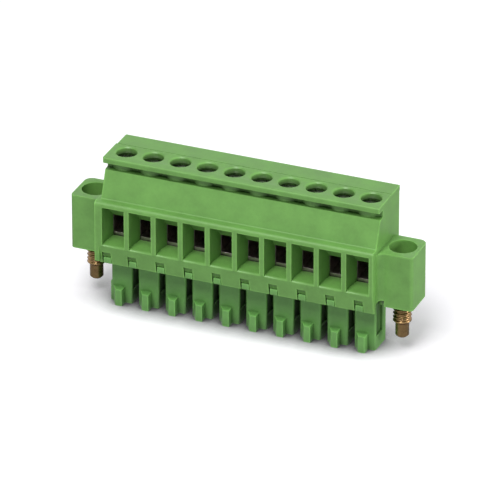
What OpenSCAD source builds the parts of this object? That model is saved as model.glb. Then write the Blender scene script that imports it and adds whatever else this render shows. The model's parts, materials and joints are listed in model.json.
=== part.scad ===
// Pluggable terminal block: a row of screw clamps for wires in a plug that has
// a socket contact in each finger and a captive screw in a flange at each end.
// X runs along the row, -Y is the side where the wires enter and +Z is up.
// The screws, the contacts and the fingers all lie on the row's plane, Y = 0.
// Z = 0 is the plane that the fingers stand on, under the middle of the block.
// All sizes are in millimetres.

/* [Row] */
// Number of poles
poles = 10; // [2:1:16]
// Distance from one pole to the next
pitch = 3.81; // [3.6:0.01:5.08]

/* [Housing] */
// From the row's plane to the front face
front_y = 4.75; // [4.4:0.05:6]
// From the row's plane to the back face
back_y = 4.5; // [4.2:0.05:6]
// How far the ends stand out past the last poles
end_margin = 0.22; // [0.2:0.02:1]
// Height of the housing above the fingers
housing_h = 14.54; // [14.2:0.1:18]
// Rounding of the upright corners
corner_r = 0.15; // [0.1:0.05:0.8]
// Height of the lip along the top of the back
back_lip_h = 0.5; // [0.3:0.1:1.5]
// How far that lip stands out
back_lip_d = 0.25; // [0.1:0.05:0.5]

/* [Top strip and its slot] */
// Thickness of the strip with the screwdriver holes
strip_t = 0.8; // [0.6:0.05:1]
// Rounding of the strip's upper front edge
strip_round = 0.25; // [0.1:0.05:0.4]
// From the row's plane to the strip's front edge
strip_front = 2.65; // [2.2:0.05:3]
// From the row's plane to the seam behind the holes
strip_back = 1.95; // [1.7:0.05:2.5]
// How far the strip's left end stands out
strip_tongue = 0.16; // [0.05:0.01:0.4]
// Height of the slot under the strip
slot_h = 0.95; // [0.6:0.05:1.5]
// From the row's plane to the bottom of the slot
slot_back = 1.35; // [1.2:0.05:1.9]
// How far the slot's floor drops towards the front
slot_drop = 0.15; // [0:0.05:0.4]
// From the row's plane to the shoulder in front of the slot
shoulder_y = 2.17; // [2:0.05:2.6]
// Radius of the screwdriver holes
hole_r = 1.38; // [1.2:0.02:1.5]
// Chamfer round those holes
hole_chamfer = 0.16; // [0.05:0.01:0.3]
// Wall of the screw shafts that cross the slot
shaft_wall = 0.4; // [0.3:0.05:0.6]

/* [Wire entries] */
// Height of the sill above the fingers
entry_z = 2.7; // [2.6:0.05:3.4]
// Width of an entry at the front
entry_w = 3.12; // [2.8:0.02:3.3]
// Height of an entry at the front
entry_h = 5.62; // [5.2:0.02:6]
// Depth over which an entry keeps its width
entry_straight = 1.2; // [0.4:0.1:1.6]
// Rounding of the sill
sill = 0.25; // [0.1:0.05:0.5]
// How far an entry's floor rises towards the clamp
floor_rise = 0.35; // [0.1:0.05:0.6]
// Width of the opening that leads to the clamp
mouth_w = 2.4; // [2:0.05:2.6]
// Height of that opening
mouth_h = 3.1; // [2.6:0.05:3.4]
// From the row's plane to that opening
mouth_y = 1.95; // [1.85:0.05:2.2]
// Height of the lip over the entries
lip_h = 0.68; // [0.4:0.02:1]
// From the row's plane to the foot of the slope behind the lip
foot_y = 3.55; // [3.2:0.05:4]
// Radius of the cove at that foot
cove_r = 0.8; // [0.3:0.05:0.9]
// Rounding of the lip's nose
nose_r = 0.25; // [0.1:0.05:0.4]
// How far the wall beside the first entry stands out
cheek = 0.5; // [0.2:0.05:0.8]

/* [Lower edge] */
// Height of the slanted apron below the entries
apron_h = 2.7; // [2:0.05:2.8]
// How far the apron slants back
apron_slant = 0.6; // [0.2:0.05:1]
// Thickness of the walls round the carrier
skirt_t = 0.4; // [0.3:0.05:1]
// Width of a latch window
window_w = 1.25; // [0.8:0.05:1.4]
// From the middle of the row's poles to the middle of its windows
window_offset = 0.7; // [0.3:0.05:1]
// How much wider the windows are spaced than the poles
window_drift = 0.165; // [0:0.005:0.2]
// Height of the latch window
window_h = 0.95; // [0.7:0.05:1.1]
// Height of the shallow recess above it
recess_h = 0.77; // [0.3:0.01:0.9]
// Depth of that recess
recess_d = 0.4; // [0.2:0.05:0.6]
// Height of the arched notch in each end wall
arch_h = 1.5; // [0.5:0.05:1.8]
// Width of that notch
arch_w = 2.4; // [1.5:0.1:3]
// How far the notch runs on under the flange
arch_reach = 0.85; // [0.2:0.05:1.2]

/* [Flanges] */
// From the last pole to the flange screw
flange_screw_x = 4.455; // [4.2:0.05:6]
// Half the depth of a flange
flange_y = 2.8; // [2.4:0.05:3.4]
// Height of the flange's underside above the fingers
flange_z = 0.6; // [0:0.05:1]
// Height of the flange
flange_h = 7.7; // [7:0.1:9]
// From the screw to the flange's outer end
flange_end = 2.4; // [2.3:0.05:3.2]
// Radius of the wide bore for the screw's head
flange_bore_r = 1.86; // [1.8:0.02:2]
// Depth of that bore
flange_bore_d = 5.3; // [4.8:0.1:6]
// Rounding of the flange's outer corner at the front
flange_front_r = 0.5; // [0.2:0.1:1.6]
// Rounding of its outer corner at the back
flange_back_r = 1.1; // [0.4:0.1:1.6]
// Fillet between the flange and the end of the housing
flange_fillet_r = 1; // [0.4:0.1:1.4]

/* [Fingers] */
// Height of the fingers
finger_h = 6.6; // [6.4:0.1:9]
// Width of a finger
finger_w = 2.93; // [2.7:0.01:3.1]
// Half the depth of a finger
finger_y = 1.93; // [1.8:0.01:2.2]
// Rounding of a finger's corners
finger_r = 0.25; // [0.1:0.05:0.4]
// Height of the key on a finger's front
key_h = 2.35; // [2:0.1:4]
// How far the key stands out
key_d = 1.2; // [0.8:0.05:1.4]
// From the finger's middle to each side of the key's nose
key_nose = 0.44; // [0.3:0.02:0.6]
// Depth of the groove in a finger's right side
groove_d = 0.28; // [0.1:0.02:0.3]
// Width of that groove
groove_w = 2.1; // [1.5:0.1:2.4]
// Height of that groove's lower end
groove_z = 1.9; // [1:0.1:3]
// Thickness of the end key on the first finger
end_key_t = 0.2; // [0.1:0.05:0.4]

/* [Carrier] */
// Height of the carrier's base
base_h = 2; // [1.4:0.05:2.2]
// Clearance between the carrier and the housing
seat_gap = 0.05; // [0.03:0.01:0.1]
// How far a latch stands out of the carrier's base
latch_d = 0.6; // [0.3:0.05:0.7]
// Height of a latch
latch_h = 0.92; // [0.5:0.02:1]
// Width of the chamber round a contact's fork
fork_room = 1.7; // [1.5:0.05:1.8]
// Half its depth
fork_room_y = 1.35; // [1.25:0.05:1.5]
// Side of the square hole that the pin enters
pin_hole = 1.3; // [1.1:0.05:1.5]
// Thickness of a finger's end
finger_end_t = 0.6; // [0.4:0.05:1]

/* [Contacts] */
// Width of the contact strip
contact_w = 1.5; // [1.2:0.05:1.6]
// Thickness of the contact strip
contact_t = 0.4; // [0.3:0.02:0.45]
// Thickness of the two fork arms
arm_t = 0.25; // [0.2:0.01:0.3]
// Gap between the fork arms where they touch the pin
fork_gap = 0.7; // [0.5:0.05:0.9]

/* [Clamps] */
// Radius of the clamp screw's thread
clamp_thread_r = 1; // [0.9:0.02:1.1]
// Radius of the clamp screw's head
clamp_head_r = 1.44; // [1.3:0.02:1.5]
// Height of that head
clamp_head_h = 1.2; // [1:0.05:1.4]
// Depth of the head below the top of the housing
clamp_head_drop = 1.04; // [0.9:0.02:1.2]
// Wall of the clamp sleeve's sides
sleeve_side = 0.32; // [0.26:0.02:0.45]
// Thickness of the sleeve's floor
sleeve_floor = 0.5; // [0.4:0.05:0.6]
// Thickness of the sleeve's threaded roof
sleeve_roof = 1; // [0.8:0.05:1.2]
// Height inside the sleeve
sleeve_room = 4.3; // [4:0.05:4.6]
// Half the depth of the sleeve
sleeve_y = 1.7; // [1.4:0.05:1.8]
// Travel of the sleeve from open to closed
sleeve_travel = 2.6; // [2:0.1:2.7]

/* [Flange screws] */
// Radius of the flange screw's thread
flange_thread_r = 1.25; // [1.1:0.05:1.3]
// Radius of its plain tip
tip_r = 0.9; // [0.7:0.05:1]
// Height of the tip's end above the floor
tip_z = 1.95; // [0.5:0.05:2.5]
// Length of the plain tip
tip_h = 2; // [1.5:0.05:3]
// Height of the flange screw's head
flange_head_h = 2.4; // [1.8:0.1:3]
// Radius of its waist inside the flange
waist_r = 1; // [0.8:0.05:1.1]

/* [Fits] */
// Gap round a turning screw
screw_gap = 0.06; // [0.04:0.01:0.1]
// Gap round the sliding sleeve
sleeve_gap = 0.06; // [0.04:0.01:0.1]
// Gap between the screw's tip and the contact bar
tip_gap = 0.05; // [0.02:0.01:0.1]

/* [Hidden] */
function numbered(name) = [for (i = [1:poles]) str(name, "_", i)];

$fn = 48;
cut = 0.1; // how far a cutting tool runs past a surface

plastic = [0.40, 0.62, 0.33];
copper_alloy = [0.72, 0.62, 0.42];
zinc_plate = [0.74, 0.75, 0.76];
bronze = [0.45, 0.36, 0.22];

// Places along the row
body_x = poles * pitch / 2 + end_margin;
screw_x = (poles - 1) * pitch / 2 + flange_screw_x;
flange_x = screw_x + flange_end;
function pole_x(i) = (i - (poles - 1) / 2) * pitch;

// Heights
top_z = finger_h + housing_h;
strip_z = top_z - strip_t;
slot_z = strip_z - slot_h;
shoulder_z = slot_z - slot_drop;
apron_z = finger_h + apron_h;
floor_z = finger_h + entry_z;
ceiling_z = floor_z + entry_h;
lip_z = ceiling_z + lip_h;
base_z = finger_h + base_h;
flange_low_z = finger_h + flange_z;
flange_top_z = flange_low_z + flange_h;
flange_seat_z = flange_top_z - flange_bore_d;

// Clamp heights, from the open sleeve upwards
mouth_z = floor_z + floor_rise;
sleeve_low_z = mouth_z - 0.05;
sleeve_in_z = sleeve_low_z + sleeve_floor;
sleeve_roof_z = sleeve_in_z + sleeve_room;
sleeve_top_z = sleeve_roof_z + sleeve_roof;
chamber_z = sleeve_top_z + sleeve_travel + 0.15;
bar_z = mouth_z + mouth_h + 0.15;
clamp_head_z = top_z - clamp_head_drop;
clamp_tip_z = bar_z + contact_t + tip_gap;
head_bore_r = clamp_head_r + screw_gap;
chamber_w = entry_w;
chamber_front = sleeve_y + 0.1;

// Contact places, as distances behind the row's plane
riser_y = sleeve_y + 0.75;
arm_y = fork_room_y - 0.4;

// The clear space inside the lower edge of the housing
seat_x = body_x - skirt_t;
seat_front = front_y - apron_slant - skirt_t;
seat_back = back_y - skirt_t;

// ---- Helpers ----

// One copy at each pole, with the pole's number in $pole
module at_poles() {
    for (i = [0:poles - 1]) translate([pole_x(i), 0, 0]) children();
}

// One copy at each latch window
module at_windows() {
    last = seat_x - window_w / 2;
    for (i = [0:poles - 1]) let (x = pole_x(i) - window_offset + window_drift * (i - (poles - 1) / 2))
        translate([max(-last, min(last, x)), 0, 0]) children();
}

// A (y, z) outline drawn out along X
module along_x(width) {
    rotate([90, 0, 90]) translate([0, 0, -width / 2]) linear_extrude(width) children();
}

// A block given by its lowest and highest corners
module block(low, high) {
    translate(low) cube(high - low);
}

// What a rounding of radius r takes off a square corner at the origin
module corner_waste(r) {
    difference() {
        translate([-cut, -cut]) square(r + cut);
        translate([r, r]) circle(r);
    }
}

// A rectangle with corners at low and high, and rounded corners of radius r
module rounded_plan(low, high, r) {
    difference() {
        translate(low) square(high - low);
        translate(low) corner_waste(r);
        translate(high) rotate(180) corner_waste(r);
        translate([high[0], low[1]]) rotate(90) corner_waste(r);
        translate([low[0], high[1]]) rotate(-90) corner_waste(r);
    }
}

// Points on an arc round c, from angle a to angle b
function arc(c, r, a, b, steps = 6) =
    [for (k = [0:steps]) let (t = a + (b - a) * k / steps) c + r * [cos(t), sin(t)]];

// The outline of a bent strip: its centre line moved half its thickness to each side
function unit(v) = v / norm(v);
function left_of(v) = [-v[1], v[0]];
function side_shift(path, k, t) =
    let (
        before = unit(path[max(k, 1)] - path[max(k, 1) - 1]),
        after = unit(path[min(k + 1, len(path) - 1)] - path[min(k, len(path) - 2)]),
        across = unit(left_of(before) + left_of(after))
    ) across * t / 2 / (across * left_of(before));
function strip_outline(path, t) = concat(
    [for (k = [0:len(path) - 1]) path[k] + side_shift(path, k, t)],
    [for (k = [len(path) - 1:-1:0]) path[k] - side_shift(path, k, t)]
);

// ---- Housing ----

// End view of the housing: apron, front, lip, cove, sloping face, slot, strip and back
module housing_profile() {
    lean = atan2(shoulder_z - lip_z, foot_y - shoulder_y);
    cove = [-foot_y - cove_r * tan(lean / 2), lip_z + cove_r];
    under = 0.12; // rounding of the strip's lower front edge
    polygon(concat(
        [[-front_y + apron_slant, finger_h], [-front_y, apron_z]],
        lip_nose(),
        arc(cove, cove_r, -90, lean - 90),
        [[-shoulder_y, shoulder_z], [-slot_back, slot_z], [-slot_back, strip_z]],
        arc([-strip_front + under, strip_z + under], under, 270, 180, 3),
        arc([-strip_front + strip_round, top_z - strip_round], strip_round, 180, 90, 5),
        [
            [back_y + back_lip_d, top_z], [back_y + back_lip_d, top_z - back_lip_h],
            [back_y, top_z - back_lip_h - back_lip_d], [back_y, finger_h]
        ]
    ));
}

function lip_nose() = arc([-front_y + nose_r, lip_z - nose_r], nose_r, 180, 90, 5);

// The thicker wall beside the first entry, down to just below the flange
module left_cheek() {
    low = flange_low_z - 0.2;
    translate([-body_x - cheek / 2 + corner_r / 2, 0, 0]) along_x(cheek + corner_r)
        polygon(concat([[-front_y, low]], lip_nose(), [[-flange_y + cut, lip_z], [-flange_y + cut, low]]));
}

module housing_shell() {
    depth_back = back_y + back_lip_d;
    intersection() {
        along_x(2 * body_x) housing_profile();
        linear_extrude(top_z + cut)
            rounded_plan([-body_x, -front_y], [body_x, depth_back], corner_r);
    }
    block([-body_x - strip_tongue, -strip_front + corner_r, strip_z],
        [-body_x + corner_r, strip_back - 0.1, top_z]);
    for (side = [0, 1]) mirror([side, 0, 0]) flange();
    left_cheek();
    at_poles() cylinder_between(head_bore_r + shaft_wall, slot_z - 1, strip_z + cut);
}

module cylinder_between(r, low, high) {
    translate([0, 0, low]) cylinder(r = r, h = high - low);
}

// The right-hand flange, without its bore
module flange() {
    inner = body_x - skirt_t;
    translate([0, 0, flange_low_z]) linear_extrude(flange_h) {
        difference() {
            translate([inner, -flange_y]) square([flange_x - inner, 2 * flange_y]);
            translate([flange_x, -flange_y]) rotate(90) corner_waste(flange_front_r);
            translate([flange_x, flange_y]) rotate(180) corner_waste(flange_back_r);
        }
        translate([body_x, -flange_y]) mirror([0, 1]) corner_waste(flange_fillet_r);
    }
}

// The stepped bore of a flange
module flange_bore() {
    translate([screw_x, 0, 0]) {
        cylinder_between(flange_bore_r, flange_seat_z, flange_top_z + cut);
        cylinder_between(flange_thread_r + screw_gap, flange_low_z - cut, flange_seat_z + cut);
    }
}

// A gentle S from a to b
function funnel_curve(a, b, steps = 5) =
    [for (k = [0:steps]) let (s = k / steps, e = s * s * (3 - 2 * s)) a + (b - a) * (0.6 * s + 0.4 * e)];

// The funnel that leads a wire into the clamp: its plan and its side view, crossed
module wire_funnel() {
    turn = entry_straight - front_y;
    mouth_top = mouth_z + mouth_h;
    intersection() {
        linear_extrude(ceiling_z + 1) polygon(concat(
            [[-entry_w / 2, -front_y - cut], [entry_w / 2, -front_y - cut]],
            funnel_curve([entry_w / 2, turn], [mouth_w / 2, -mouth_y]),
            funnel_curve([-mouth_w / 2, -mouth_y], [-entry_w / 2, turn])
        ));
        along_x(entry_w + 1) polygon(concat(
            [[-front_y - cut, floor_z - sill]],
            arc([-front_y + sill, floor_z - sill], sill, 180, 90, 4),
            [[-mouth_y, mouth_z]],
            funnel_curve([-mouth_y, mouth_top], [turn, ceiling_z]),
            [[-front_y - cut, ceiling_z]]
        ));
    }
    block([-mouth_w / 2, -mouth_y - cut, mouth_z], [mouth_w / 2, -chamber_front + cut, mouth_top]);
}

// The room for one clamp and the upper half of its contact
module clamp_chamber() {
    block([-chamber_w / 2, -chamber_front, finger_h], [chamber_w / 2, chamber_front, chamber_z]);
    block([-contact_w / 2 - 0.1, 0, finger_h],
        [contact_w / 2 + 0.1, riser_y + contact_t / 2 + 0.05, bar_z + contact_t + 0.1]);
}

// The shaft that the clamp screw's head turns in, and the screwdriver hole
module screw_shaft() {
    cylinder_between(head_bore_r, chamber_z - cut, strip_z);
    cylinder_between(hole_r, strip_z - cut, top_z + cut);
    translate([0, 0, top_z - hole_chamfer])
        cylinder(r1 = hole_r, r2 = hole_r + hole_chamfer + cut, h = hole_chamfer + cut);
}

// The window for a latch and the shallow recess above it
module latch_window() {
    window_z = finger_h + window_h;
    half = window_w / 2;
    block([-half, -front_y - cut, finger_h - cut], [half, -seat_front + cut, window_z]);
    block([-half, -front_y - cut, window_z - cut], [half, -front_y + recess_d + 0.25, window_z + recess_h]);
}

// The arched notches in the end walls, which run on under the flanges
module end_arch() {
    r = min(arch_h, arch_w / 2) * 0.7;
    arch_front = -front_y + apron_slant + 0.4;
    along_x(2 * body_x + 2 * arch_reach) difference() {
        translate([arch_front, finger_h - cut]) square([arch_w, arch_h + cut]);
        translate([arch_front, finger_h + arch_h]) rotate(-90) corner_waste(r);
        translate([arch_front + arch_w, finger_h + arch_h]) rotate(180) corner_waste(r);
    }
}

module seam() {
    depth = 0.08;
    block([-body_x - 1, strip_back - 0.1, top_z - depth], [body_x + 1, strip_back, top_z + cut]);
}

module housing() color(plastic) {
    difference() {
        housing_shell();
        for (side = [0, 1]) mirror([side, 0, 0]) flange_bore();
        block([-seat_x, -seat_front, finger_h - cut], [seat_x, seat_back, base_z + seat_gap]);
        at_poles() {
            wire_funnel();
            clamp_chamber();
            screw_shaft();
        }
        at_windows() latch_window();
        end_arch();
        seam();
    }
}

// ---- Contact carrier ----

module carrier_base() {
    gap = seat_gap;
    block([-seat_x + gap, -seat_front + gap, finger_h], [seat_x - gap, seat_back - gap, base_z]);
}

// A finger with its key and its groove, from above
module finger_plan() {
    rounded_plan([-finger_w / 2, -finger_y], [finger_w / 2, finger_y], finger_r);
}

module key_plan() {
    polygon([
        [-finger_w / 2 + finger_r, -finger_y + cut], [-finger_w / 2 + finger_r, -finger_y],
        [-key_nose, -finger_y - key_d], [key_nose, -finger_y - key_d], [key_nose, -finger_y + cut]
    ]);
}

module finger() {
    difference() {
        union() {
            linear_extrude(finger_h) finger_plan();
            linear_extrude(key_h) key_plan();
        }
        block([finger_w / 2 - groove_d, -groove_w * 0.73, groove_z],
            [finger_w / 2 + cut, groove_w * 0.27, finger_h]);
    }
}

// The hook that catches in the housing's window
module latch() {
    width = window_w - 0.25;
    front = -seat_front - latch_d;
    translate([0.075, 0, 0]) along_x(width) polygon([
        [-seat_front + 0.2, finger_h], [front + 0.15, finger_h], [front, finger_h + 0.2],
        [front, finger_h + latch_h], [-seat_front + 0.2, finger_h + latch_h]
    ]);
}

// The chamber for a contact's fork, with the square hole for the pin and its lead-in
module fork_chamber() {
    riser_room = riser_y + contact_t / 2 + 0.05;
    half_hole = pin_hole / 2;
    block([-fork_room / 2, -fork_room_y, finger_end_t], [fork_room / 2, fork_room_y, base_z + cut]);
    block([-half_hole, -half_hole, -cut], [half_hole, half_hole, finger_end_t + cut]);
    for (turn = [0:90:270]) rotate(turn) translate([half_hole, 0, 0]) rotate([90, 0, 0])
        translate([0, 0, -half_hole]) linear_extrude(pin_hole) polygon([[-cut, -cut], [0.2, -cut], [-cut, 0.3]]);
}

module contact_carrier() color(plastic) {
    difference() {
        union() {
            carrier_base();
            at_poles() finger();
            at_windows() latch();
            translate([pole_x(0) - finger_w / 2 - end_key_t, -finger_y + finger_r, 0])
                cube([end_key_t + finger_r, finger_y, key_h + 0.4]);
        }
        at_poles() fork_chamber();
    }
}

// ---- Contacts ----

// A contact from the side: bar, riser and step, and the two arms of the fork
module contact_profile() {
    bar = bar_z + contact_t / 2;
    step = base_z + contact_t / 2;
    touch = fork_gap / 2 + arm_t / 2;
    polygon(strip_outline([[-sleeve_y, bar], [riser_y, bar], [riser_y, step], [-arm_y - arm_t / 2, step]], contact_t));
    for (side = [-1, 1]) polygon(strip_outline([
        [side * arm_y, step], [side * arm_y, finger_h - 1.6], [side * touch, finger_h / 2 - 0.6],
        [side * touch, finger_h / 2 - 1.1], [side * (touch + 0.25), finger_end_t + 0.5]
    ], arm_t));
}

module contact() color(copper_alloy) {
    along_x(contact_w) contact_profile();
}

// ---- Clamps ----

// The sleeve: a closed loop of strip that a wire passes through
module clamp_sleeve() color(zinc_plate) {
    half = chamber_w / 2 - sleeve_gap;
    bend = 0.4;
    difference() {
        translate([0, sleeve_y, 0]) rotate([90, 0, 0]) linear_extrude(2 * sleeve_y) difference() {
            rounded_plan([-half, sleeve_low_z], [half, sleeve_top_z], bend);
            translate([-half + sleeve_side, sleeve_in_z]) square([2 * (half - sleeve_side), sleeve_room]);
        }
        cylinder_between(clamp_thread_r + screw_gap / 2, sleeve_roof_z - cut, sleeve_top_z + cut);
    }
}

// A slotted screw: head, thread and chamfered end, with its head's top at z = head_z
module clamp_screw() color(zinc_plate) {
    end = 0.25;
    low_head = clamp_head_z - clamp_head_h;
    difference() {
        rotate_extrude() polygon([
            [0, clamp_tip_z], [clamp_thread_r - end, clamp_tip_z], [clamp_thread_r, clamp_tip_z + end],
            [clamp_thread_r, low_head], [clamp_head_r, low_head],
            [clamp_head_r, clamp_head_z - 0.12], [clamp_head_r - 0.12, clamp_head_z], [0, clamp_head_z]
        ]);
        screw_slot(clamp_head_z, clamp_head_r, 0.45, 0.65);
    }
}

module screw_slot(z, r, width, depth) {
    block([-r - cut, -width / 2, z - depth], [r + cut, width / 2, z + cut]);
}

// ---- Flange screws ----

module flange_screw() color(bronze) {
    end = 0.25;
    tip_top = tip_z + tip_h;
    thread_top = flange_low_z - 0.05;
    waist_low = thread_top + flange_thread_r - waist_r;
    seat = flange_seat_z + tip_gap;
    head = seat + flange_head_h;
    head_r = flange_bore_r - screw_gap;
    difference() {
        rotate_extrude() polygon([
            [0, tip_z], [tip_r - end, tip_z], [tip_r, tip_z + end], [tip_r, tip_top],
            [flange_thread_r, tip_top + flange_thread_r - tip_r], [flange_thread_r, thread_top],
            [waist_r, waist_low], [waist_r, seat],
            [head_r, seat], [head_r, head - end], [head_r - end, head], [0, head]
        ]);
        screw_slot(head, head_r, 0.6, 1.1);
    }
}

// ---- The pieces ----

housing();
contact_carrier();
for (i = [0:poles - 1]) {
    translate([pole_x(i), 0, 0]) contact();
    translate([pole_x(i), 0, 0]) clamp_sleeve();
    translate([pole_x(i), 0, 0]) clamp_screw();
}
translate([-screw_x, 0, 0]) flange_screw();  // flange_screw_left
translate([screw_x, 0, 0]) flange_screw();  // flange_screw_right
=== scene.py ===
"""The looks of a pluggable terminal block: moulded green housing and carrier, plated clamps, tinned
contacts and bronze flange screws, standing on a white sweep in soft studio light.

Sizes and places are in millimetres, and the frame's own are in metres."""

import json
import math

import bmesh
import bpy
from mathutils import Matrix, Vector

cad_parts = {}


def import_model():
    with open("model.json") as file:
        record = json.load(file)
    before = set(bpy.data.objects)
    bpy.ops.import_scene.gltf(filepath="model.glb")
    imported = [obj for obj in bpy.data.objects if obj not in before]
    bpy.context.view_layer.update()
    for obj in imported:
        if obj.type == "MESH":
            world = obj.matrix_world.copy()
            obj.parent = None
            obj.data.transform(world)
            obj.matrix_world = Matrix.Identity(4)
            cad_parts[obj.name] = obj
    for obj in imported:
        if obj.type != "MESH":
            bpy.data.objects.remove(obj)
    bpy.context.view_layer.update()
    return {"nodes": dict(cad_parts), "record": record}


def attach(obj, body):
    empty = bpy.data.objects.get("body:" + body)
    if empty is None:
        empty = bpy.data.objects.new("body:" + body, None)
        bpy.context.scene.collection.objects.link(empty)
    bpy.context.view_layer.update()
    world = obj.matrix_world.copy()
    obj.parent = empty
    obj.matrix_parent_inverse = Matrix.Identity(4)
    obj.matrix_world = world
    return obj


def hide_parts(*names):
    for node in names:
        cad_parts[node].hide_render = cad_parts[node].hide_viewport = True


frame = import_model()

MM = 0.001
BODIES = frame["record"]["behaviour"]["bodies"]
POLES = sum(1 for name in frame["nodes"] if name.startswith("clamp_screw_"))

# ---- Edges and threads ----

SAME_POINT = 1e-6  # metres between points that are one
ON_CUT = 1e-8  # metres between a point and a cut that goes through it
FLAT = math.radians(0.5)  # the angle between faces that are one flat
SHARP = math.radians(30)  # the angle from which an edge is rounded
EDGE_SEGMENTS = 2

HOUSING_EDGE, CARRIER_EDGE = 0.07, 0.06
SLEEVE_EDGE, CONTACT_EDGE, SCREW_EDGE = 0.04, 0.03, 0.03

CLAMP_THREAD = {"crest": 1, "depth": 0.2, "pitch": 0.5, "low": 13.6, "high": 18.7}
FLANGE_THREAD = {"crest": 1.25, "depth": 0.3, "pitch": 0.56, "low": 4.3, "high": 7.12}
THREAD_RINGS = 8  # rings of points in each turn
ON_CREST = 0.05  # how near the crest a point lies that the thread moves
RUN_OUT = 0.5  # turns over which a thread grows to its depth
ROOT_BREADTH = 1.4  # over 1, so that the root has a flat

# ---- The housing's profile, as the frame has it ----

FRONT, SLOPE_FOOT, MOUTH = -4.75, -3.55, -1.95  # y of the face, the slope's foot and the entries' mouths
LIP_TOP = 15.6
SILL_EDGE, SILL_ROUND = 9.05, 0.25  # height of a sill's lower edge, and its rounding
FLOOR_BACK = 9.65  # height of an entry's floor at the mouth
BROADER_SILL = 1.8  # times the frame's rounding
ON_PLACE, ON_FLOOR = 0.01, 0.02  # how near a point lies that belongs to the sill, or to the floor
OFF_FACE, OFF_EDGE = 0.02, 0.04  # how far a sill's point lies behind the face, and above the lower edge


# ---- Mesh helpers ----

def body_of(node):
    """The CAD body that holds a node."""
    return next(body for body, members in BODIES.items() if node in members)


def place(piece, node, material):
    """Shows a finished piece in place of its CAD node, on the node's own body."""
    bpy.context.scene.collection.objects.link(piece)
    piece.data.materials.append(material)
    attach(piece, body_of(node))
    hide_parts(node)


def copied(node):
    """A CAD node's mesh, merged and with its flat faces whole."""
    bm = bmesh.new()
    bm.from_mesh(frame["nodes"][node].data)
    bmesh.ops.remove_doubles(bm, verts=bm.verts, dist=SAME_POINT)
    bmesh.ops.dissolve_limit(bm, angle_limit=FLAT, verts=bm.verts, edges=bm.edges)
    return bm


def soften(bm, radius):
    """Rounds the sharp edges, as a mould or a press leaves them."""
    sharp = [edge for edge in bm.edges if edge.is_manifold and edge.calc_face_angle(0) > SHARP]
    bmesh.ops.bevel(bm, geom=sharp, offset=radius * MM, offset_type="OFFSET", segments=EDGE_SEGMENTS,
                    profile=0.5, affect="EDGES", clamp_overlap=True, material=-1)


def finished(name, bm):
    """A smooth-shaded object from a bmesh, with its faces weighted so that flats stay flat."""
    bmesh.ops.triangulate(bm, faces=[face for face in bm.faces if len(face.verts) > 4])
    mesh = bpy.data.meshes.new(name)
    bm.to_mesh(mesh)
    bm.free()
    for face in mesh.polygons:
        face.use_smooth = True
    piece = bpy.data.objects.new(name, mesh)
    weighted = piece.modifiers.new("flat faces", "WEIGHTED_NORMAL")
    weighted.keep_sharp = True
    weighted.weight = 100
    return piece


def softened(node, name, radius):
    """A copy of a CAD node with rounded edges."""
    bm = copied(node)
    soften(bm, radius)
    return finished(name, bm)


def cut_thread(bm, axis_x, crest, depth, pitch, low, high):
    """Cuts a helical thread between two heights into the cylinder that stands at axis_x."""
    for ring in range(int((high - low) / pitch * THREAD_RINGS) + 1):
        height = low + ring * pitch / THREAD_RINGS
        bmesh.ops.bisect_plane(bm, geom=bm.verts[:] + bm.edges[:] + bm.faces[:], dist=ON_CUT,
                               plane_co=(0, 0, height * MM), plane_no=(0, 0, 1))
    for vert in bm.verts:
        x, y, z = vert.co.x / MM - axis_x, vert.co.y / MM, vert.co.z / MM
        if low < z < high and abs(math.hypot(x, y) - crest) < ON_CREST:
            turn = (z / pitch - math.atan2(y, x) / math.tau) % 1
            grown = min(1, (z - low) / pitch / RUN_OUT, (high - z) / pitch / RUN_OUT)
            groove = min(1, ROOT_BREADTH * (1 - abs(2 * turn - 1)))
            scale = 1 - depth / crest * grown * groove
            vert.co.x, vert.co.y = (axis_x + x * scale) * MM, y * scale * MM


def threaded(node, name, radius, thread):
    """A copy of a screw's CAD node with rounded edges and a real thread."""
    bm = copied(node)
    soften(bm, radius)
    axis_x = sum(vert.co.x for vert in bm.verts) / len(bm.verts) / MM
    cut_thread(bm, axis_x, **thread)
    return finished(name, bm)


# ---- Node helpers ----

def feed(links, entry, value):
    """Links an output to an input, or writes a plain value into the input."""
    if isinstance(value, bpy.types.NodeSocket):
        links.new(value, entry)
    else:
        entry.default_value = value


def calculated(nodes, links, operation, *values):
    """The result of a Math node on numbers or outputs."""
    node = nodes.new("ShaderNodeMath")
    node.operation = operation
    for entry, value in zip(node.inputs, values):
        feed(links, entry, value)
    return node.outputs[0]


def mapped(nodes, links, value, from_range, to_range=(0, 1)):
    """A value taken from one range to another and held inside it."""
    node = nodes.new("ShaderNodeMapRange")
    labels = ("Value", "From Min", "From Max", "To Min", "To Max")
    for label, number in zip(labels, (value, *from_range, *to_range)):
        feed(links, node.inputs[label], number)
    return node.outputs["Result"]


def scaled(nodes, links, colour, factor):
    """A colour times a factor."""
    node = nodes.new("ShaderNodeVectorMath")
    node.operation = "SCALE"
    feed(links, node.inputs[0], colour)
    feed(links, node.inputs["Scale"], factor)
    return node.outputs[0]


def openness(nodes, links, distance, samples, inside=False):
    """How free a surface is of others within a distance, or from inside, how far it is from its edges."""
    node = nodes.new("ShaderNodeAmbientOcclusion")
    node.samples = samples
    node.inside = inside
    node.only_local = inside
    feed(links, node.inputs["Distance"], distance)
    return node.outputs["AO"]


def noise(nodes, links, scale, detail, roughness=0.5):
    """A noise on Object coordinates, with its scale per metre."""
    node = nodes.new("ShaderNodeTexNoise")
    node.inputs["Scale"].default_value = scale
    node.inputs["Detail"].default_value = detail
    node.inputs["Roughness"].default_value = roughness
    links.new(nodes.new("ShaderNodeTexCoord").outputs["Object"], node.inputs["Vector"])
    return node.outputs["Fac"]


def new_material(name):
    """A material with its Principled BSDF, its nodes and its links."""
    material = bpy.data.materials.new(name)
    material.use_nodes = True
    tree = material.node_tree
    return material, tree.nodes["Principled BSDF"], tree.nodes, tree.links


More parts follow.
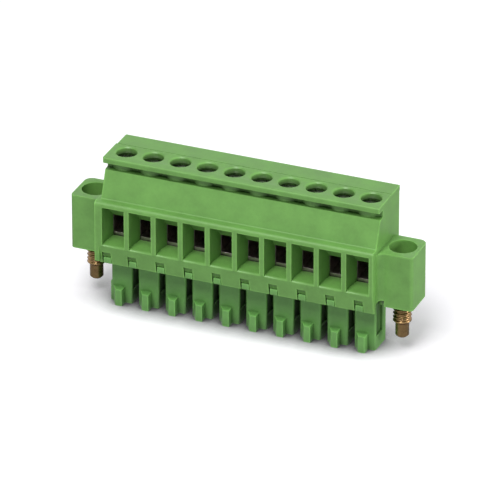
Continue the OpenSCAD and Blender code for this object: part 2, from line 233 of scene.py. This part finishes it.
def new_group(name, defaults, results):
    """A node group with named inputs and their defaults, and named outputs and their kinds."""
    group = bpy.data.node_groups.new(name, "ShaderNodeTree")
    for label, default in defaults.items():
        kind = "NodeSocketColor" if isinstance(default, tuple) else "NodeSocketFloat"
        group.interface.new_socket(label, in_out="INPUT", socket_type=kind).default_value = default
    for label, kind in results.items():
        group.interface.new_socket(label, in_out="OUTPUT", socket_type=kind)
    given = group.nodes.new("NodeGroupInput").outputs
    made = group.nodes.new("NodeGroupOutput").inputs
    return group, given, made


def grouped(nodes, links, group, values):
    """Places a group in a material with its own values, and returns its outputs."""
    node = nodes.new("ShaderNodeGroup")
    node.node_tree = group
    for label, value in values.items():
        feed(links, node.inputs[label], value)
    return node.outputs


# ---- Materials ----

def moulded_group():
    """Cloudy colour and fine grain, as a moulded plastic has them, and a painted highlight along the edges.
    """
    group, given, made = new_group(
        "moulded surface",
        {"Colour": (0.2, 0.4, 0.1, 1), "Mottle": 0.1, "Roughness": 0.4, "Grain": 0.1, "Edge Highlight": 0.3},
        {"Colour": "NodeSocketColor", "Roughness": "NodeSocketFloat", "Normal": "NodeSocketVector"})
    nodes, links = group.nodes, group.links

    cloud = noise(nodes, links, scale=420, detail=3, roughness=0.55)
    speck = noise(nodes, links, scale=2600, detail=2, roughness=0.55)
    both = calculated(nodes, links, "MULTIPLY_ADD", speck, 0.35, cloud)
    level = mapped(nodes, links, both, from_range=(0.45, 0.9), to_range=(-1, 1))
    gain = calculated(nodes, links, "MULTIPLY_ADD", level, given["Mottle"], 1)
    tint = nodes.new("ShaderNodeHueSaturation")
    links.new(given["Colour"], tint.inputs["Color"])
    links.new(gain, tint.inputs["Value"])

    # Painted highlight: the colour is lightened close to the edges, where a rounded edge would catch the
    # light.
    rim = openness(nodes, links, distance=0.28 * MM, samples=6, inside=True)
    edge_highlight_share = mapped(nodes, links, rim, from_range=(0.9, 0.35))
    highlight_gain = calculated(nodes, links, "MULTIPLY_ADD", edge_highlight_share, given["Edge Highlight"], 1)
    links.new(scaled(nodes, links, tint.outputs["Color"], highlight_gain), made["Colour"])
    links.new(calculated(nodes, links, "MULTIPLY", given["Roughness"], gain), made["Roughness"])

    bump = nodes.new("ShaderNodeBump")
    bump.inputs["Distance"].default_value = 0.02 * MM
    links.new(given["Grain"], bump.inputs["Strength"])
    links.new(noise(nodes, links, scale=9000, detail=2, roughness=0.55), bump.inputs["Height"])
    links.new(bump.outputs["Normal"], made["Normal"])
    return group


def recess_shade_group():
    """Paints shade into a colour, darker the more the surroundings hide the surface, down to the darkest
    share.
    """
    group, given, made = new_group(
        "recesses",
        {"Colour": (0.2, 0.4, 0.1, 1), "Reach": 0.002, "Darkest": 0.4},
        {"Colour": "NodeSocketColor"})
    nodes, links = group.nodes, group.links
    free = openness(nodes, links, given["Reach"], samples=6)
    light = mapped(nodes, links, free, from_range=(0.15, 0.6), to_range=(given["Darkest"], 1))
    links.new(scaled(nodes, links, given["Colour"], light), made["Colour"])
    return group


MOULDED = moulded_group()
RECESS_SHADE = recess_shade_group()


def moulded_plastic(name, colour, roughness):
    """A moulded plastic, with painted shade in its recesses."""
    material, shader, nodes, links = new_material(name)
    surface = grouped(nodes, links, MOULDED, {"Colour": (*colour, 1), "Mottle": 0.11, "Roughness": roughness,
                                              "Grain": 0.25, "Edge Highlight": 0.6})
    # Painted shade: the colour is darkened in recesses and between parts.
    shaded = grouped(nodes, links, RECESS_SHADE, {"Colour": surface["Colour"], "Reach": 2.6 * MM,
                                              "Darkest": 0.22})
    links.new(shaded["Colour"], shader.inputs["Base Color"])
    links.new(surface["Roughness"], shader.inputs["Roughness"])
    links.new(surface["Normal"], shader.inputs["Normal"])
    shader.inputs["IOR"].default_value = 1.5
    return material


def metal(name, colour, roughness, darkest):
    """A plated or bare metal with cloudy tarnish, and painted shade in its recesses."""
    material, shader, nodes, links = new_material(name)
    cloud = noise(nodes, links, scale=1500, detail=4)
    tarnish = mapped(nodes, links, cloud, from_range=(0.3, 0.7), to_range=(0.8, 1.1))
    # Painted shade: the colour is darkened in recesses, such as thread grooves and the sleeves' insides.
    shaded = grouped(nodes, links, RECESS_SHADE, {"Colour": scaled(nodes, links, colour, tarnish),
                                              "Reach": 3 * MM, "Darkest": darkest})
    links.new(shaded["Colour"], shader.inputs["Base Color"])
    links.new(calculated(nodes, links, "MULTIPLY", tarnish, roughness), shader.inputs["Roughness"])
    shader.inputs["Metallic"].default_value = 1
    return material


GREEN = moulded_plastic("green polyamide", (0.150, 0.352, 0.078), roughness=0.42)
CARRIER_GREEN = moulded_plastic("carrier polyamide", (0.138, 0.340, 0.085), roughness=0.45)
# Each metal's darkest is the share of its colour left in the deepest painted shade.
ZINC = metal("zinc plate", (0.55, 0.47, 0.46), roughness=0.35, darkest=0.6)
SCREW_ZINC = metal("screw zinc plate", (0.52, 0.52, 0.50), roughness=0.3, darkest=0.25)
TIN = metal("tinned contact", (0.60, 0.54, 0.44), roughness=0.3, darkest=0.2)
BRONZE = metal("bronze", (0.36, 0.23, 0.11), roughness=0.3, darkest=0.1)


# ---- The block ----

def rescale_arc(bm, y, z, reach, ratio):
    """Gives a rounding that runs along X another radius, about the corner that it rounds."""
    for vert in bm.verts:
        off_y, off_z = vert.co.y - y * MM, vert.co.z - z * MM
        if math.hypot(off_y, off_z) < reach * MM:
            vert.co.y, vert.co.z = y * MM + off_y * ratio, z * MM + off_z * ratio


def floor_height(y, sill_round):
    """The height at y of an entry's floor, which rises from its rounded sill to the mouth."""
    start, low = FRONT + sill_round, SILL_EDGE + sill_round
    return low + (FLOOR_BACK - low) * (y - start) / (MOUTH - start)


def broaden_sills(bm):
    """Gives the entries' sills a broader rounding, with the floors raised to meet it."""
    floor_start, sill_top = FRONT + SILL_ROUND, SILL_EDGE + SILL_ROUND
    for vert in bm.verts:
        y, z = vert.co.y / MM, vert.co.z / MM
        if FRONT + OFF_FACE < y < floor_start + ON_PLACE and SILL_EDGE + OFF_EDGE < z < sill_top + ON_PLACE:
            vert.co.y = (FRONT + BROADER_SILL * (y - FRONT)) * MM
            vert.co.z = (SILL_EDGE + BROADER_SILL * (z - SILL_EDGE)) * MM
        elif (floor_start + ON_PLACE < y < MOUTH + ON_PLACE
              and abs(z - floor_height(y, SILL_ROUND)) < ON_FLOOR):
            vert.co.z = floor_height(y, SILL_ROUND * BROADER_SILL) * MM


def housing_moulding():
    """The housing with a fuller lip, a tight foot to its slope and broad rounded sills."""
    bm = copied("housing")
    rescale_arc(bm, FRONT, LIP_TOP, reach=0.27, ratio=2)
    rescale_arc(bm, SLOPE_FOOT, LIP_TOP, reach=0.62, ratio=0.3)
    broaden_sills(bm)
    soften(bm, HOUSING_EDGE)
    return finished("housing_moulding", bm)


place(housing_moulding(), "housing", GREEN)
place(softened("contact_carrier", "carrier_moulding", CARRIER_EDGE), "contact_carrier",
      CARRIER_GREEN)
for n in range(1, POLES + 1):
    place(softened(f"contact_{n}", f"socket_contact_{n}", CONTACT_EDGE), f"contact_{n}", TIN)
    place(softened(f"clamp_sleeve_{n}", f"sleeve_{n}", SLEEVE_EDGE), f"clamp_sleeve_{n}",
          ZINC)
    place(threaded(f"clamp_screw_{n}", f"slotted_screw_{n}", SCREW_EDGE, CLAMP_THREAD), f"clamp_screw_{n}",
          SCREW_ZINC)
for side in ("left", "right"):
    place(threaded(f"flange_screw_{side}", f"captive_screw_{side}", SCREW_EDGE, FLANGE_THREAD),
          f"flange_screw_{side}", BRONZE)


# ---- Stage ----

FLOOR_DROP = 0.002  # how far the floor lies under the fingers' ends, so that the two don't flicker
FLOOR_HALF_WIDTH = 1.5  # metres
FLOOR_WHITE, FLOOR_MIRRORED = (0.86, 0.85, 0.88, 1), (0.45, 0.45, 0.45, 1)
FLOOR_GLOW = 0.45  # lifts the seen floor to white
# Reach in millimetres and steepness of the painted shadow on the floor.
SHADOW_REACH, SHADOW_POWER = 7, 1.6
DARK_SURROUND, WHITE_SURROUND = 0.06, 1
MIX_NUMBERS, MIX_COLOURS = (2, 3, 0), (6, 7, 2)  # the Mix node's two inputs and its output, for each kind


def mixed(nodes, links, share, first, second, sockets):
    """Two numbers or colours mixed by a share."""
    node = nodes.new("ShaderNodeMix")
    node.data_type = "RGBA" if sockets == MIX_COLOURS else "FLOAT"
    feed(links, node.inputs[0], share)
    feed(links, node.inputs[sockets[0]], first)
    feed(links, node.inputs[sockets[1]], second)
    return node.outputs[sockets[2]]


def floor_material():
    """White where the camera sees it, with a painted shadow close to the block, and grey in what mirrors it.
    """
    material, shader, nodes, links = new_material("white sweep")
    ray = nodes.new("ShaderNodeLightPath").outputs
    # Painted shadow: what the camera sees of the floor is darkened where the block hides it.
    near = openness(nodes, links, SHADOW_REACH * MM, samples=12)
    soft = mapped(nodes, links, near, from_range=(0.2, 0.92), to_range=(0.1, 1))
    falloff = calculated(nodes, links, "POWER", soft, SHADOW_POWER)
    shadow = mixed(nodes, links, ray["Is Camera Ray"], 1, falloff, MIX_NUMBERS)
    surface = mixed(nodes, links, ray["Is Glossy Ray"], FLOOR_WHITE, FLOOR_MIRRORED, MIX_COLOURS)
    shaded = scaled(nodes, links, surface, shadow)
    links.new(shaded, shader.inputs["Base Color"])
    links.new(shaded, shader.inputs["Emission Color"])
    glow = calculated(nodes, links, "MULTIPLY", ray["Is Camera Ray"], FLOOR_GLOW)
    links.new(glow, shader.inputs["Emission Strength"])
    shader.inputs["Roughness"].default_value = 0.9
    shader.inputs["Specular IOR Level"].default_value = 0.1
    return material


def floor():
    """A white floor that keeps the block's shadow from the lamps, and a painted shadow close to the block.
    """
    bm = bmesh.new()
    bmesh.ops.create_grid(bm, x_segments=1, y_segments=1, size=FLOOR_HALF_WIDTH)
    mesh = bpy.data.meshes.new("sweep")
    bm.to_mesh(mesh)
    bm.free()
    mesh.materials.append(floor_material())
    sweep = bpy.data.objects.new("sweep", mesh)
    sweep.location.z = -FLOOR_DROP * MM
    bpy.context.scene.collection.objects.link(sweep)


def world():
    """A dim surround that the camera, mirrored rays and rays let through see as white."""
    surround = bpy.data.worlds.new("surround")
    surround.use_nodes = True
    bpy.context.scene.world = surround
    nodes, links = surround.node_tree.nodes, surround.node_tree.links
    ray = nodes.new("ShaderNodeLightPath").outputs
    seen = calculated(nodes, links, "MAXIMUM", ray["Is Camera Ray"], ray["Is Glossy Ray"])
    seen = calculated(nodes, links, "MAXIMUM", seen, ray["Is Transmission Ray"])
    strength = mapped(nodes, links, seen, from_range=(0, 1), to_range=(DARK_SURROUND, WHITE_SURROUND))
    links.new(strength, nodes["Background"].inputs["Strength"])
    nodes["Background"].inputs["Color"].default_value = (1, 1, 1, 1)


def turned_at(name, data, spot, towards):
    """Puts a lamp or a camera at a spot, in metres, and turns it along a direction."""
    holder = bpy.data.objects.new(name, data)
    holder.location = spot
    holder.rotation_euler = towards.to_track_quat("-Z", "Y").to_euler()
    bpy.context.scene.collection.objects.link(holder)
    return holder


def softbox(name, power, size, spot):
    """A square area lamp aimed at the middle of the block, with its size and spot in metres."""
    lamp = bpy.data.lights.new(name, "AREA")
    lamp.energy = power
    lamp.size = size
    turned_at(name, lamp, spot, Vector((0, 0, 10 * MM)) - Vector(spot))


def camera(azimuth, elevation, distance, lens, aim):
    """A long lens that looks down on the block, with its distance in metres and its angles in degrees."""
    turn, rise = math.radians(azimuth), math.radians(elevation)
    back = Vector((math.sin(turn) * math.cos(rise), -math.cos(turn) * math.cos(rise), math.sin(rise)))
    data = bpy.data.cameras.new("camera")
    data.lens = lens
    data.sensor_width = 36
    data.clip_start, data.clip_end = 0.05, 10
    bpy.context.scene.camera = turned_at("camera", data, Vector(aim) * MM + back * distance, -back)


floor()
world()
softbox("key softbox", power=5.7, size=0.4, spot=(0, -0.41, 0.69))
softbox("side softbox", power=3.5, size=0.3, spot=(0.77, 0.08, 0.21))
camera(azimuth=22.42, elevation=27.44, distance=0.9076, lens=502, aim=(0.35, -0.25, 10.33))
bpy.context.scene.view_settings.view_transform = "Standard"
